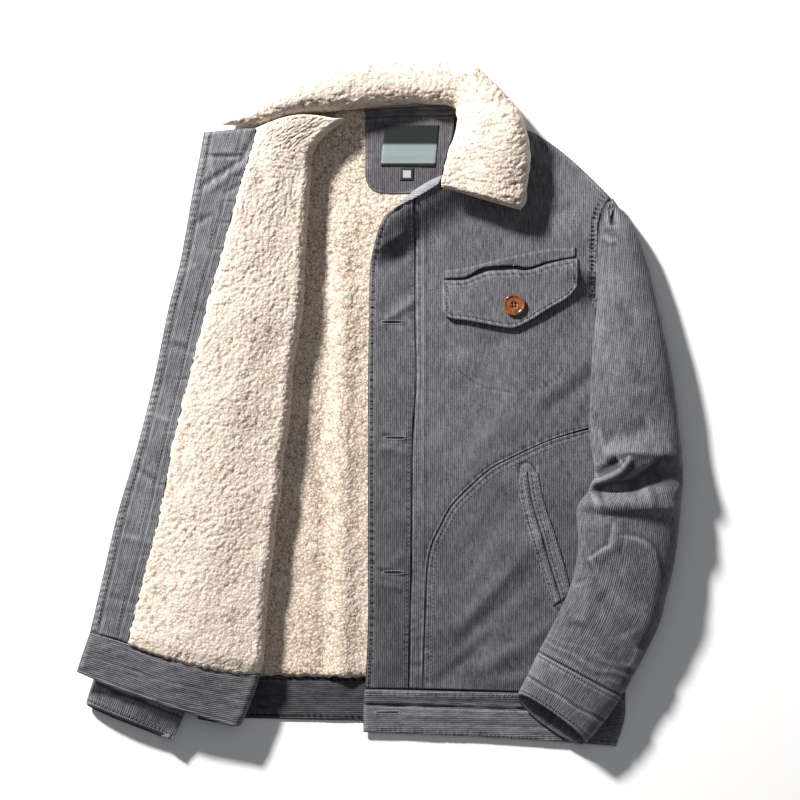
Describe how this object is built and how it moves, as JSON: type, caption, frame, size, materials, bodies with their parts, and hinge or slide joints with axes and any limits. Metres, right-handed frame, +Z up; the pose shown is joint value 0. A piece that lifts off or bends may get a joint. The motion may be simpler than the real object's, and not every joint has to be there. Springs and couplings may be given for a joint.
{
  "type": "sherpa lined jacket",
  "caption": "Corduroy trucker jacket with a sherpa lining and collar, laid flat on its back with one front turned back to show the pile.",
  "frame": {"origin": "on the floor under the middle of the laid out garment's outline", "axes": "+Y from the hem to the collar, +X towards the wearer's left side, +Z up off the surface the garment lies on"},
  "size_m": [0.6542, 0.744, 0.0539],
  "materials": {
    "corduroy": "fine-wale cotton corduroy",
    "sherpa": "curly sherpa pile",
    "button": "polished four-hole button",
    "label": "woven label, plain",
    "tab": "woven size tab, plain"
  },
  "bodies": {
    "root": {"back_shell": "corduroy", "back_lining": "sherpa", "back_waistband": "corduroy", "neck_tape": "corduroy", "hanger_patch": "corduroy", "label": "label", "size_tab": "tab", "left_front": "corduroy", "left_front_lower": "corduroy", "left_placket": "corduroy", "left_waistband": "corduroy", "left_neck_edge": "corduroy", "chest_welt": "corduroy", "chest_flap": "corduroy", "chest_button": "button", "hand_pocket_welt_left": "corduroy", "hand_pocket_welt_right": "corduroy", "left_sleeve": "corduroy", "left_undersleeve": "corduroy", "left_cuff": "corduroy", "right_sleeve": "corduroy", "right_undersleeve": "corduroy", "right_cuff": "corduroy", "right_front_shell": "corduroy", "right_front_lining": "sherpa", "right_front_facing": "corduroy", "right_waistband": "corduroy", "front_button_1": "button", "front_button_2": "button", "front_button_3": "button", "front_button_4": "button", "front_button_5": "button", "collar": "sherpa"}
  },
  "joints": []
}
